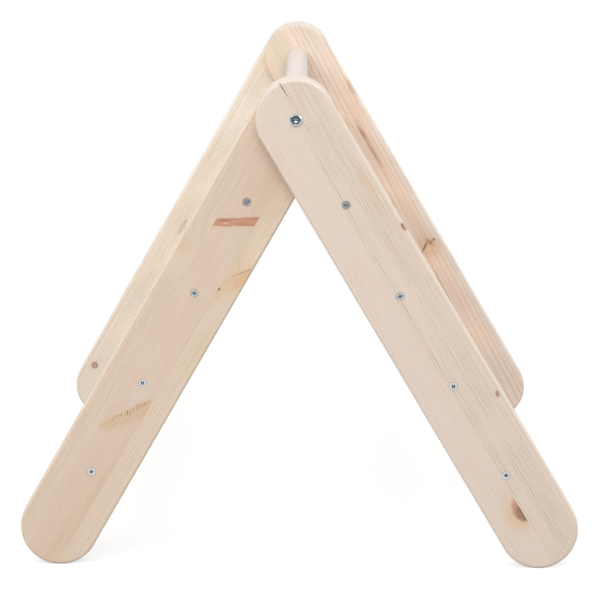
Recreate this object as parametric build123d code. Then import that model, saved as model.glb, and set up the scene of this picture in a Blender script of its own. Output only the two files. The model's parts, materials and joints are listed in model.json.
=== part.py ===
"""Folding wooden climbing triangle: two equal ladders that share a hinge bar at the top.

Frame: +Z up, +X to the right as seen from the front, front is -Y. The origin is on the floor, midway
between the feet and midway between the front and the rear. Lengths are in millimetres, angles in degrees.

The left ladder is the right one turned half a turn about Z. Each ladder is therefore the outer one at one
end of the hinge and the inner one at the other end.
"""

import os
from math import cos, radians, sin

from build123d import *

# Boards: edge-glued pine with full-round ends
board_width = 95.0
board_thickness = 27.0
edge_radius = 3.0

# Ladder: stations along a board, measured from the hinge, and the clear width between its two boards
rung_count = 4
hinge_to_first_rung = 117.0
rung_pitch = 127.0
last_rung_to_foot_centre = 79.5
inside_width = 770.0
apex_angle = 60.4

# Rungs: turned hardwood, set in blind sockets
rung_diameter = 30.0
rung_end_chamfer = 1.0
socket_depth = 15.0
socket_clearance = 0.1

# Rung screws: countersunk wood screws, one through each board into each rung end
screw_diameter = 5.0
screw_length = 60.0
screw_tip_length = 6.0
screw_head_diameter = 10.0
screw_head_rim = 0.5
screw_head_sink = 0.2
screw_clearance = 0.1
recess_arm_length = 4.8
recess_arm_width = 1.0
recess_arm_depth = 1.4
recess_core_diameter = 2.8
recess_core_depth = 2.4
recess_turn_step = 37.0

# Hinge: at each end a bolt with a wide flat head goes through both boards into the top rung
bolt_diameter = 8.0
bolt_grip_in_rung = 24.0
bolt_tip_chamfer = 1.0
bolt_head_diameter = 15.0
bolt_head_flat_diameter = 11.6
bolt_head_height = 2.6
bolt_head_bevel = 1.4
hex_across_flats = 5.0
hex_depth = 4.0
pivot_clearance = 0.1
washer_diameter = 16.0
washer_bore_clearance = 0.2
washer_thickness = 1.6
face_clearance = 0.1
insert_diameter = 12.0
insert_length = 25.0
insert_flange_chamfer = 0.5
insert_clearance = 0.05

# Places worked out from the sizes above
end_radius = board_width / 2
half_apex = radians(apex_angle / 2)
hinge_to_foot = hinge_to_first_rung + (rung_count - 1) * rung_pitch + last_rung_to_foot_centre
hinge_height = hinge_to_foot * cos(half_apex) + end_radius
board_gap = washer_thickness + 2 * face_clearance
overall_depth = inside_width + 3 * board_thickness + board_gap
rung_stations = [hinge_to_first_rung + i * rung_pitch for i in range(rung_count)]
rung_length = inside_width + 2 * socket_depth
top_rung_length = inside_width - board_thickness - board_gap - 2 * face_clearance
bolt_length = 2 * board_thickness + board_gap + face_clearance + bolt_grip_in_rung

front_outer_face_y = -overall_depth / 2
front_inner_face_y = front_outer_face_y + board_thickness
rear_inner_face_y = front_inner_face_y + inside_width
leg_direction = (sin(half_apex), 0, -cos(half_apex))

from_bottom = (Align.CENTER, Align.CENTER, Align.MIN)
from_top = (Align.CENTER, Align.CENTER, Align.MAX)
half_turn = Rot(0, 0, 180)


def turned(points):
    """Solid of revolution about Z from (radius, height) points."""
    profile = make_face(Plane.XZ * Polyline(points, close=True))
    return revolve(profile, Axis.Z)


def screw_blank(clearance=0.0, rise=0.0):
    """Countersunk screw without its recess: head top at z 0, tip downwards. A clearance makes its hole."""
    head = screw_head_diameter / 2 + clearance
    shank = screw_diameter / 2 + clearance
    cone_end = -screw_head_rim - (screw_head_diameter - screw_diameter) / 2
    return turned(
        [
            (0, rise),
            (head, rise),
            (head, -screw_head_rim),
            (shank, cone_end),
            (shank, -screw_length + screw_tip_length),
            (0, -screw_length - clearance),
        ]
    )


def screw(turn):
    """Wood screw with a cross recess, turned about its axis as the driver left it."""
    cross = Rectangle(recess_arm_length, recess_arm_width) + Rectangle(recess_arm_width, recess_arm_length)
    arms = extrude(cross, -recess_arm_depth)
    core = Cone(0, recess_core_diameter / 2, recess_core_depth, align=from_top)
    return Rot(0, 0, turn) * (screw_blank() - arms - core)


def screw_hole():
    """What one screw takes out of the board and the rung that it joins, in the screw's own frame."""
    return screw_blank(screw_clearance, rise=2 * screw_head_sink)


def stile():
    """One side board: x runs from the hinge to the foot, z from the inner face to the outer one."""
    outline = Pos(hinge_to_foot / 2, 0) * SlotCenterToCenter(hinge_to_foot, board_width)
    board = extrude(outline, board_thickness)
    rims = board.faces().sort_by(Axis.Z)
    board = fillet(rims[0].edges() + rims[-1].edges(), edge_radius)
    board -= Cylinder(bolt_diameter / 2 + pivot_clearance, board_thickness, align=from_bottom)
    socket = Cylinder(rung_diameter / 2 + socket_clearance, socket_depth, align=from_bottom)
    for station in rung_stations:
        board -= Pos(station, 0, 0) * socket
        board -= Pos(station, 0, board_thickness - screw_head_sink) * screw_hole()
    return board


def stile_screws():
    """The screws of one board, in the board's own frame."""
    return [
        Pos(station, 0, board_thickness - screw_head_sink) * screw(recess_turn_step * (i + 1))
        for i, station in enumerate(rung_stations)
    ]


def dowel(length):
    """Turned bar with eased ends, centred, lying along Z."""
    bar = Cylinder(rung_diameter / 2, length)
    return chamfer(bar.edges().filter_by(GeomType.CIRCLE), rung_end_chamfer)


def rung():
    """Ladder rung, centred along Z, drilled at both ends for its screws."""
    head_above_socket_floor = board_thickness - screw_head_sink - socket_depth
    drill = Pos(0, 0, rung_length / 2 + head_above_socket_floor) * screw_hole()
    return dowel(rung_length) - drill - Rot(180, 0, 0) * drill


def top_rung():
    """Hinge bar, centred along Z, bored at both ends for the threaded inserts."""
    bore_radius = insert_diameter / 2 + insert_clearance
    bore = Pos(0, 0, top_rung_length / 2) * Cylinder(bore_radius, insert_length, align=from_top)
    return dowel(top_rung_length) - bore - Rot(180, 0, 0) * bore


def hinge_bolt():
    """Connector bolt with a bevelled flat head and a hex socket: head seat at z 0, shank downwards."""
    shank = bolt_diameter / 2
    blank = turned(
        [
            (0, bolt_head_height),
            (bolt_head_flat_diameter / 2, bolt_head_height),
            (bolt_head_diameter / 2, bolt_head_height - bolt_head_bevel),
            (bolt_head_diameter / 2, 0),
            (shank, 0),
            (shank, -bolt_length + bolt_tip_chamfer),
            (shank - bolt_tip_chamfer, -bolt_length),
            (0, -bolt_length),
        ]
    )
    hexagon = RegularPolygon(hex_across_flats / 2, 6, major_radius=False)
    return blank - Pos(0, 0, bolt_head_height) * extrude(hexagon, -hex_depth)


def hinge_insert():
    """Threaded insert in the end of the top rung: mouth at z 0, body downwards."""
    body = Cylinder(insert_diameter / 2, insert_length, align=from_top)
    body = chamfer(body.edges().filter_by(GeomType.CIRCLE), insert_flange_chamfer)
    return body - Cylinder(bolt_diameter / 2 + insert_clearance, insert_length, align=from_top)


def pivot_washer():
    """Flat washer that keeps the two boards apart at one end of the hinge, standing on z 0."""
    disc = Cylinder(washer_diameter / 2, washer_thickness, align=from_bottom)
    return disc - Cylinder(bolt_diameter / 2 + washer_bore_clearance, washer_thickness, align=from_bottom)


def board_place(inner_face_y, outward):
    """Where a right-hand board stands: its hinge end on the hinge axis, its outer face towards outward."""
    origin = (0, inner_face_y, hinge_height)
    return Plane(origin, x_dir=leg_direction, z_dir=(0, outward, 0)).location


def axle_place(y, towards):
    """A place on the hinge axis at y, with local +Z along towards."""
    return Plane((0, y, hinge_height), x_dir=(1, 0, 0), z_dir=(0, towards, 0)).location


def rung_place(station):
    """The middle of a right-hand rung, with local +Z along Y."""
    x, _, z = (station * part for part in leg_direction)
    middle = (front_inner_face_y + rear_inner_face_y) / 2
    return Plane((x, middle, hinge_height + z), x_dir=(1, 0, 0), z_dir=(0, 1, 0)).location


def right_ladder():
    """Nodes of the right ladder: two boards, their screws and the rungs."""
    front = board_place(front_inner_face_y, -1)
    rear = board_place(rear_inner_face_y, 1)
    nodes = {
        "right_front_stile": front * stile(),
        "right_rear_stile": rear * stile(),
        "right_front_screws": Compound([front * piece for piece in stile_screws()]),
        "right_rear_screws": Compound([rear * piece for piece in stile_screws()]),
    }
    for i, station in enumerate(rung_stations, start=1):
        nodes[f"right_rung_{i}"] = rung_place(station) * rung()
    return nodes


def left_ladder(right_nodes):
    """Nodes of the left ladder: the right one turned half a turn, which swaps front and rear."""
    swapped = {"right_front": "left_rear", "right_rear": "left_front", "right_rung": "left_rung"}
    nodes = {}
    for name, shape in right_nodes.items():
        side = next(start for start in swapped if name.startswith(start))
        nodes[name.replace(side, swapped[side])] = half_turn * shape
    return nodes


def hinge():
    """Nodes of the hinge: the top rung, and at each end a bolt, an insert and a washer."""
    rung_end_y = -top_rung_length / 2
    front = {
        "hinge_bolt": axle_place(front_outer_face_y, -1) * hinge_bolt(),
        "hinge_insert": axle_place(rung_end_y, -1) * hinge_insert(),
        "pivot_washer": axle_place(front_inner_face_y + face_clearance, 1) * pivot_washer(),
    }
    nodes = {"top_rung": axle_place(0, 1) * top_rung()}
    for name, shape in front.items():
        nodes[f"{name}_front"] = shape
        nodes[f"{name}_rear"] = half_turn * shape
    return nodes


def main():
    """Builds every node and writes each to its own STEP file."""
    right_nodes = right_ladder()
    nodes = right_nodes | left_ladder(right_nodes) | hinge()
    os.makedirs("parts", exist_ok=True)
    for name, shape in nodes.items():
        export_step(shape, f"parts/{name}.step")


main()
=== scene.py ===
"""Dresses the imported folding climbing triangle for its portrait.

The boards are edge-glued pine, each with its own glue lines, growth rings and knots, the rungs are pale
turned hardwood, and the screws and hinge bolts are zinc-plated steel. New pieces are modelled in
millimetres along their own axes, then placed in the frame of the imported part, which is in metres.
"""

from __future__ import annotations

import json
import logging
import math
from collections.abc import Callable, Iterable, Mapping, Sequence
from dataclasses import dataclass, field
from enum import Enum
from typing import Any

import bmesh
import bpy
from bmesh.types import BMEdge, BMFace, BMVert
from bpy.types import ID, Material, Mesh, Node, NodeSocket, NodeTree, Object
from mathutils import Color, Matrix, Vector

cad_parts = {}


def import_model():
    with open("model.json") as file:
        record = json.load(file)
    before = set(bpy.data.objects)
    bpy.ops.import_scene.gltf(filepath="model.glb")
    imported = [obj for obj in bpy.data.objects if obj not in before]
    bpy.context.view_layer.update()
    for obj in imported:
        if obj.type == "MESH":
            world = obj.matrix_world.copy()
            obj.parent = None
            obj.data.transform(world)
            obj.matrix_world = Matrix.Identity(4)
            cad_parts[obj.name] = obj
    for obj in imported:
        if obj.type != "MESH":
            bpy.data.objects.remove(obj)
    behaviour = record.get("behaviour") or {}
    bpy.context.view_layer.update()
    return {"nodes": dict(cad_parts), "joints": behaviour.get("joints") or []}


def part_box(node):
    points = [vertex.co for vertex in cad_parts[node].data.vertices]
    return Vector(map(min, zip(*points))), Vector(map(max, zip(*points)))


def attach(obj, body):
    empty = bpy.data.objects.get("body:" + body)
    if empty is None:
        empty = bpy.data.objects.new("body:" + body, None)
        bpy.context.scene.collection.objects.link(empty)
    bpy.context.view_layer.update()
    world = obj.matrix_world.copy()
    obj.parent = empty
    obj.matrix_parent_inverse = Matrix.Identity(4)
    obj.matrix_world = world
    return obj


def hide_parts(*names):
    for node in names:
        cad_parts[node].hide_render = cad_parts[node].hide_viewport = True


LOG = logging.getLogger("climbing_triangle")

MM = 0.001
GRAIN = "grain"
TURNED = "turned"
WELD = 1e-4
SHARP = math.radians(35)
FLAT_WEIGHT = 100

# How many finer layers a noise has
COARSE, MEDIUM, FINE = 1.0, 2.0, 3.0

# A colour as a shader takes it, and as a screen shows it, with levels from 0 up to the full one
Colour = tuple[float, float, float, float]
Screen = tuple[int, int, int]
FULL_LEVEL = 255


def paint(red: int, green: int, blue: int) -> Colour:
    """The opaque colour that a shader takes, from its levels on a screen."""
    shown = Color((red / FULL_LEVEL, green / FULL_LEVEL, blue / FULL_LEVEL))
    return *shown.from_srgb_to_scene_linear(), 1.0


class Value:
    """A number that changes over a surface: a shader socket with Python's arithmetic."""

    def __init__(self, graph: Graph, socket: NodeSocket) -> None:
        """Wraps the output socket that carries the number, in the graph that new nodes are made in."""
        self.graph = graph
        self.socket = socket

    def __add__(self, other: Number) -> Value:
        """Sum."""
        return self.graph.math("ADD", self, other)

    __radd__ = __add__

    def __sub__(self, other: Number) -> Value:
        """Difference."""
        return self.graph.math("SUBTRACT", self, other)

    def __rsub__(self, other: Number) -> Value:
        """Difference with the number first."""
        return self.graph.math("SUBTRACT", other, self)

    def __mul__(self, other: Number) -> Value:
        """Product."""
        return self.graph.math("MULTIPLY", self, other)

    __rmul__ = __mul__

    def __truediv__(self, other: Number) -> Value:
        """Quotient."""
        return self.graph.math("DIVIDE", self, other)

    def __abs__(self) -> Value:
        """Size without sign."""
        return self.graph.math("ABSOLUTE", self)

    def __lt__(self, other: Number) -> Value:
        """1 where the value is the smaller one, 0 elsewhere."""
        return self.graph.math("LESS_THAN", self, other)

    def root(self) -> Value:
        """Square root."""
        return self.graph.math("SQRT", self)

    def sine(self) -> Value:
        """Sine of an angle in radians."""
        return self.graph.math("SINE", self)

    def whole(self) -> Value:
        """Largest whole number that isn't above the value."""
        return self.graph.math("FLOOR", self)

    def part(self) -> Value:
        """What is left above the whole number."""
        return self.graph.math("FRACT", self)

    def at_least(self, other: Number) -> Value:
        """The larger of the two."""
        return self.graph.math("MAXIMUM", self, other)

    def within(self, low: Number, high: Number) -> Value:
        """The value, kept between two others."""
        return self.graph.math("MINIMUM", self.at_least(low), high)

    def rise(self, low: float, high: float) -> Value:
        """A soft step.

        Args:
            low: Where the step starts, at 0.
            high: Where it ends, at 1.

        Returns:
            The step, with level ends.
        """
        sockets = {"Value": self, "From Min": low, "From Max": high}
        made = self.graph.node("ShaderNodeMapRange", {"interpolation_type": "SMOOTHSTEP"}, sockets)
        return Value(self.graph, made.outputs["Result"])

    def fall(self, low: float, high: float) -> Value:
        """A soft step down, from 1 at low to 0 at high."""
        return 1 - self.rise(low, high)


Number = Value | float


class Graph:
    """The node tree of a material or a world, and the one place where its nodes are made."""

    MIX_SOCKETS = {"factor": 0, "first": 6, "second": 7, "result": 2}

    def __init__(self, tree: NodeTree) -> None:
        """Empties the tree that it is going to fill."""
        self.tree = tree
        tree.nodes.clear()

    def node(
        self,
        kind: str,
        settings: Mapping[str, Any] | None = None,
        sockets: Mapping[str | int, Any] | None = None,
    ) -> Node:
        """Makes a node.

        Args:
            kind: The node's type.
            settings: Its properties, set before its sockets.
            sockets: For each socket a number, a colour, another node's socket or a Value.

        Returns:
            The node.
        """
        made = self.tree.nodes.new(kind)
        for name, setting in (settings or {}).items():
            setattr(made, name, setting)
        for key, given in (sockets or {}).items():
            source = given.socket if isinstance(given, Value) else given
            if isinstance(source, NodeSocket):
                self.tree.links.new(source, made.inputs[key])
            else:
                made.inputs[key].default_value = source
        return made

    def math(self, operation: str, *numbers: Number) -> Value:
        """One step of arithmetic: a Math node's operation on its operands."""
        made = self.node("ShaderNodeMath", {"operation": operation}, dict(enumerate(numbers)))
        return Value(self, made.outputs[0])

    def blend(self, share: Number, first: Any, second: Any, how: str = "MIX") -> NodeSocket:
        """Mixes two colours.

        Args:
            share: How much of the second one shows, 0 to 1.
            first: The colour below.
            second: The colour on top.
            how: The Mix node's blend type.

        Returns:
            The mixed colour's socket.
        """
        keys = self.MIX_SOCKETS
        sockets = {keys["factor"]: share, keys["first"]: first, keys["second"]: second}
        settings = {"data_type": "RGBA", "blend_type": how}
        return self.node("ShaderNodeMix", settings, sockets).outputs[keys["result"]]

    def cloud(self, x: Number, y: Number, z: Number, detail: float = MEDIUM) -> Value:
        """Smooth noise about 0, from roughly -0.5 to 0.5.

        Args:
            x: First coordinate, in lumps.
            y: Second coordinate.
            z: Third coordinate.
            detail: How many finer layers it has.

        Returns:
            The noise.
        """
        place = self.node("ShaderNodeCombineXYZ", None, {0: x, 1: y, 2: z}).outputs[0]
        made = self.node("ShaderNodeTexNoise", None, {"Vector": place, "Scale": 1.0, "Detail": detail})
        return Value(self, made.outputs[0]) - 0.5

    def chance(self, index: Number) -> Value:
        """A number from 0 to 1 that is fixed for each whole index."""
        made = self.node("ShaderNodeTexWhiteNoise", {"noise_dimensions": "1D"}, {"W": index})
        return Value(self, made.outputs["Value"])

    def axes(self, place: NodeSocket) -> tuple[Value, Value, Value]:
        """Splits a place into its three coordinates."""
        parts = self.node("ShaderNodeSeparateXYZ", None, {0: place}).outputs
        return Value(self, parts[0]), Value(self, parts[1]), Value(self, parts[2])

    def own_axes(self, name: str) -> tuple[Value, Value, Value]:
        """The piece's own coordinates in millimetres, as an attribute of its mesh holds them."""
        return self.axes(self.node("ShaderNodeAttribute", {"attribute_name": name}).outputs["Vector"])

    def relief(self, height: Value, depth: float) -> NodeSocket:
        """The bumped normal of a surface whose height of 1 measures depth metres."""
        return self.node("ShaderNodeBump", None, {"Height": height, "Distance": depth}).outputs[0]

    def surface(self, **sockets: Any) -> None:
        """Ends the graph in a principled surface.

        Args:
            sockets: The shader's sockets, with underscores for the spaces in their names.
        """
        named = {key.replace("_", " "): given for key, given in sockets.items()}
        shader = self.node("ShaderNodeBsdfPrincipled", None, named)
        self.node("ShaderNodeOutputMaterial", None, {"Surface": shader.outputs[0]})


def new_material(name: str) -> tuple[Material, Graph]:
    """An empty material and its graph.

    Args:
        name: The material's name.

    Returns:
        The material, and the graph that fills it.
    """
    material = bpy.data.materials.new(name)
    material.use_nodes = True
    return material, Graph(material.node_tree)


class Face(Enum):
    """A face of a board."""

    OUTER = "outer"
    INNER = "inner"


class KnotKind(Enum):
    """How the saw met a branch."""

    ROUND = "round"
    SPIKE = "spike"
    RIPPLE = "ripple"
    STREAK = "streak"


@dataclass(frozen=True)
class Lamella:
    """One strip of an edge-glued board, from its upper glue line down to the next one.

    Attributes:
        top: Where it starts, in millimetres from the board's middle towards its outer edge.
        heart: Where the tree's heart lies, across the board and in its thickness.
        lean: How far the heart drifts over the board's length, likewise.
        ring: Mean width of a growth ring.
        late: Strength of the dark late wood, 0 to 1.
        tone: Warmth of the strip, from -1, pinkish, to 1, yellowish.
        light: Brightness of the strip against the others.
    """

    top: float
    heart: tuple[float, float]
    lean: tuple[float, float]
    ring: float
    late: float
    tone: float = 0.0
    light: float = 1.0


@dataclass(frozen=True)
class Knot:
    """A knot or streak in one strip of a board.

    Attributes:
        kind: How the saw met the branch.
        strip: Which lamella it is in, counted from the outer edge.
        centre: Its middle, along the board from the top end and across it.
        half: Half its length along its own axis, and half its width.
        turn: Its axis against the board's length, in degrees.
        pale: The paler colour inside it, as a screen shows it.
        dark: The darker colour inside it.
        halo: Colour of the wood around it.
        strength: How far it covers the wood, 0 to 1.
        halo_strength: How far the halo tints the wood, 0 to 1.
        soft: How gradually its edge fades, as a share of its size.
        core: Darkness of its rim against its middle. A dark middle is negative.
        slant: How much darker it grows along its axis.
        through: Whether it goes through the board. Others come out on the shown face alone.
    """

    kind: KnotKind
    strip: int
    centre: tuple[float, float]
    half: tuple[float, float]
    turn: float = 0.0
    pale: Screen = (196, 150, 120)
    dark: Screen = (132, 92, 74)
    halo: Screen = (212, 172, 138)
    strength: float = 0.9
    halo_strength: float = 0.4
    soft: float = 0.25
    core: float = 0.6
    slant: float = 0.0
    through: bool = False


def streak(
    strip: int,
    centre: tuple[float, float],
    half: tuple[float, float],
    turn: float,
    pale: Screen,
    dark: Screen,
    strength: float,
    soft: float = 0.9,
    halo_strength: float = 0.0,
    **others: Any,
) -> Knot:
    """A streak: a knot with a soft rim and little or no halo."""
    return Knot(KnotKind.STREAK, strip, centre, half, turn, pale, dark, strength=strength, soft=soft,
                halo_strength=halo_strength, **others)


@dataclass(frozen=True)
class Tint:
    """A soft drift of colour under the grain of one strip, on the shown face. A few of them are painted light
    and shade instead, as noted where they are listed.

    Attributes:
        strip: Which lamella it is in, counted from the outer edge.
        centre: Its middle, along the board from the top end and across it.
        half: Half its length along the board, and half its width.
        colour: The colour that the wood drifts to, as a screen shows it.
        strength: How far it drifts, 0 to 1.
    """

    strip: int
    centre: tuple[float, float]
    half: tuple[float, float]
    colour: Screen
    strength: float


@dataclass(frozen=True)
class Bend:
    """A stretch where the growth rings swing aside.

    Attributes:
        strip: Which lamella it is in, counted from the outer edge.
        u: Where the rings are furthest aside, along the board from the top end.
        lengths: How far it reaches before that place and after it.
        shift: How far the rings swing towards the outer edge.
        blank: How far the rings fade just after that place, 0 to 1.
    """

    strip: int
    u: float
    lengths: tuple[float, float]
    shift: float
    blank: float = 0.0


@dataclass(frozen=True)
class PineFinish:
    """Planed pine without varnish: growth rings, fibre, glue lines and knots, with a highlight painted along
    its edges.

    Attributes:
        early: Colour of the early wood.
        pink: What it drifts to in pinkish wood.
        straw: What it drifts to in yellowish wood.
        glue: Colour of the glue lines.
        glue_cover: How far they cover the wood, 0 to 1.
        crushed: Colour of the rims of the screw holes.
        crushed_cover: How far they cover the wood.
        edge: Colour of the painted highlight along the planed edges.
        edge_highlight_cover: How far it covers the wood.
        end_grain: Colour of the round ends.
        end_cover: How far it covers the wood.
        knot_depth: How deep a knot reaches below its face, in millimetres.
        roughness: Mean roughness.
        relief: Depth of the relief in metres.
    """

    early: Colour = paint(229, 212, 196)
    pink: Colour = paint(227, 201, 187)
    straw: Colour = paint(226, 207, 177)
    glue: Colour = paint(176, 148, 120)
    glue_cover: float = 0.2
    crushed: Colour = paint(150, 124, 102)
    crushed_cover: float = 0.3
    # Painted highlight: the eased edges are drawn paler, as if they caught the light
    edge: Colour = paint(244, 230, 214)
    edge_highlight_cover: float = 0.25
    end_grain: Colour = paint(208, 201, 199)
    end_cover: float = 0.5
    knot_depth: float = 9.0
    roughness: float = 0.58
    relief: float = 0.00012

    def material(self, board: BoardTimber, stand: BoardPlace) -> Material:
        """The material of one board.

        Args:
            board: The board's strips and knots.
            stand: The board's place and sizes.

        Returns:
            The material.
        """
        material, graph = new_material(f"pine_{board.node}")
        PineGraph(self, graph, board, stand).fill()
        return material


class PineGraph:
    """Draws one board's wood, from its growth rings to its knots.

    Constants that end in LUMPS are a noise's scale along the board and across it, in lumps to the
    millimetre. Other pairs are the two ends of a soft step, unless they are explained.
    """

    # Growth rings: each wander is a scale, a layer and a size, and each fade two scales, a layer and an end
    LATE_RISE = (0.42, 0.85)
    LATE_FALL = (0.86, 1.0)
    STRIP_STEP = 71.3
    WANDERS = ((0.0045, 0.0, 5.0), (0.02, 4.0, 1.2))
    SPACING = (0.11, 9.0, 2.2)
    LEAST_VIGOUR = 0.45
    FADES = ((0.007, 0.2, 0.0, -0.4), (0.03, 0.5, 5.0, -0.45))
    FADE_END = 0.15
    BLANK_LUMPS = (0.05, 0.2)
    BLANK_MIDDLE = 0.6
    BLANK_FALL = (0.2, 1.3)
    RAGGED = 0.5

    # Clear wood
    DRIFT_LUMPS = (0.011, 0.065)
    DRIFT = 2.2
    TONE_REACH = 1.4
    FIBRE_LUMPS = (0.018, 2.4)
    FIBRE_LIGHT = 0.16
    PORE_LUMPS = (0.3, 0.8)
    PORE_LIGHT = 0.13
    TINT_LUMPS = (0.03, 0.25)
    TINT_END = 1.5

    # Knots: how they end below their face, their rims, halos and the figure inside them
    FACE_FALL = (1.0, 2.0)
    RIM_LUMPS = (0.16, 0.16)
    RIM_RAGGED = {KnotKind.ROUND: 0.3, KnotKind.STREAK: 0.3, KnotKind.SPIKE: 0.4, KnotKind.RIPPLE: 0.75}
    HALO_FALL = (0.7, 2.2)
    SPIKE_RUN = 30.0
    SPIKE_TAPER = 0.02
    CORE_RADIUS = 0.6
    CORE_TONE = 0.45
    BLOTCH_LUMPS = (0.3, 0.3)
    BLOTCH = 0.9
    YEARS = 24.0
    YEARS_WANDER = 6.0
    YEARS_TONE = 0.12
    STREAK_LUMPS = (0.05, 0.8)
    STREAK_TONE = 1.6

    # A rippled knot: its outline, its strokes, which come in patches, and its dark spine
    RIPPLE_ENDS = (0.55, 1.2)
    RIPPLE_CLOSE = 1.6
    RIPPLE_FLANK = 5.0
    RIPPLE_TAPER = 0.35
    RIPPLE_PITCH = 3.3
    STROKE_SKEW = 0.4
    STROKE_LUMPS = 0.12
    STROKE_LAYER = 5.0
    STROKE_WANDER = 9.0
    STROKE_RISE = (-0.2, 1.0)
    PATCH_LUMPS = 0.16
    PATCH_LAYER = 8.0
    SPINE_WIDTH = (0.5, 4.5)
    SPINE_LENGTH = (0.0, 0.8)
    SPINE_REST = 0.42

    # Glue lines, screw holes, the painted edge highlight and the ends, in millimetres, and what their noise
    # breaks
    GLUE_LINE = (0.1, 0.45)
    GLUE_LUMPS = 0.012
    GLUE_LAYER = 3.0
    BROKEN = (-0.2, 0.2)
    CRUSHED_WIDTH = 1.0
    CRUSHED_DEPTH = 4.0
    EDGE_FROM = 2.5
    EDGE_TO = 0.5
    END_RISE = (0.2, 1.0)

    # Roughness and relief of the planed nap
    NAP_LUMPS = (0.05, 3.5)
    NAP_ROUGH = 0.14
    NAP_RELIEF = 0.7
    LATE_GLOSS = 0.06
    LATE_RELIEF = 0.12

    def __init__(self, finish: PineFinish, graph: Graph, board: BoardTimber, stand: BoardPlace) -> None:
        """Prepares the board's axes and its glue lines.

        Args:
            finish: The colours.
            graph: The material's graph.
            board: The board's strips and knots.
            stand: The board's place and sizes.
        """
        self.finish = finish
        self.graph = graph
        self.board = board
        self.stand = stand
        self.u, self.v, self.w = graph.own_axes(GRAIN)
        self.below: list[Number] = [1.0]
        self.below += [self.v < strip.top for strip in board.strips[1:]]
        self.below.append(0.0)

    def lumps(self, scale: tuple[float, float], layer: Number, detail: float = MEDIUM) -> Value:
        """One layer of noise over the board's face."""
        return self.graph.cloud(self.u * scale[0], self.v * scale[1], layer, detail)

    def deep_lumps(self, scale: tuple[float, float], detail: float = MEDIUM) -> Value:
        """Noise that goes on through the board's thickness."""
        return self.lumps(scale, self.w * scale[1], detail)

    def by_strip(self, pick: Callable[[Lamella], float]) -> Number:
        """A strip's own number, which changes at the glue lines.

        Args:
            pick: Takes the number from a strip.

        Returns:
            The number over the whole board.
        """
        levels = [pick(strip) for strip in self.board.strips]
        number: Number = levels[0]
        for below, upper, lower in zip(self.below[1:], levels, levels[1:]):
            if lower != upper:
                number = number + below * (lower - upper)
        return number

    def strip_mask(self, strip: int) -> Number:
        """1 on one strip of the board, 0 elsewhere."""
        return self.below[strip] - self.below[strip + 1]

    def face_sink(self) -> Value:
        """How deep a point lies below the shown face, as a share of a knot's depth."""
        depth = self.stand.thickness - self.w if self.board.shown is Face.OUTER else self.w
        return depth / self.finish.knot_depth

    def face_mask(self, strip: int) -> Value:
        """1 on one strip near the shown face, 0 elsewhere."""
        return self.face_sink().fall(*self.FACE_FALL) * self.strip_mask(strip)

    def knot_axes(self, knot: Knot) -> tuple[Value, Value]:
        """A knot's own axes, along and across it.

        Args:
            knot: The knot.

        Returns:
            The distance from its middle along its axis and across it, in millimetres.
        """
        turn = math.radians(knot.turn)
        du = self.u - knot.centre[0]
        dv = self.v - knot.centre[1]
        along = du * math.cos(turn) + dv * math.sin(turn)
        across = dv * math.cos(turn) - du * math.sin(turn)
        return along, across

    def knot_reach(self, knot: Knot) -> Value:
        """How far out of a knot a point lies.

        Args:
            knot: The knot.

        Returns:
            0 at its middle and 1 at its ragged rim.
        """
        along, across = self.knot_axes(knot)
        length, width = knot.half
        if knot.kind is KnotKind.SPIKE:
            reach = abs(across) / (width - along.within(-self.SPIKE_RUN, self.SPIKE_RUN) * self.SPIKE_TAPER)
        elif knot.kind is KnotKind.RIPPLE:
            taper = along.within(-length, length) * (self.RIPPLE_TAPER * width / length)
            flank = (across * -1).at_least(across * self.RIPPLE_FLANK)
            ends = (abs(along) / length).rise(*self.RIPPLE_ENDS) * self.RIPPLE_CLOSE
            reach = flank / (width - taper) + ends
        else:
            shares = [along / length, across / width]
            if not knot.through:
                shares.append(self.face_sink())
            reach = sum(share * share for share in shares).root()
        return reach + self.lumps(self.RIM_LUMPS, knot.centre[0]) * self.RIM_RAGGED[knot.kind]

    def swerve(self) -> Number:
        """How far the rings are pushed aside by round knots and bends.

        Returns:
            The push in millimetres across the board.
        """
        push: Number = 0.0
        for knot in self.board.knots:
            if knot.kind is KnotKind.ROUND:
                across = self.knot_axes(knot)[1]
                reach = self.knot_reach(knot).at_least(1.0)
                push = across / (reach * reach) * self.strip_mask(knot.strip) + push
        for bend in self.board.bends:
            before, after = bend.lengths
            along = self.u - bend.u
            reach = (along / after).at_least(along / -before)
            push = reach.fall(0.0, 1.0) * self.strip_mask(bend.strip) * bend.shift + push
        return push

    def calm(self) -> Number:
        """Where the rings show.

        Returns:
            1 on most of the board, less in the blank wood just after a bend.
        """
        shown: Number = 1.0
        for bend in self.board.bends:
            away = abs((self.u - bend.u) / bend.lengths[1] - self.BLANK_MIDDLE)
            away = away + self.lumps(self.BLANK_LUMPS, bend.u) * self.RAGGED
            shown = shown - away.fall(*self.BLANK_FALL) * self.strip_mask(bend.strip) * bend.blank
        return shown

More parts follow.
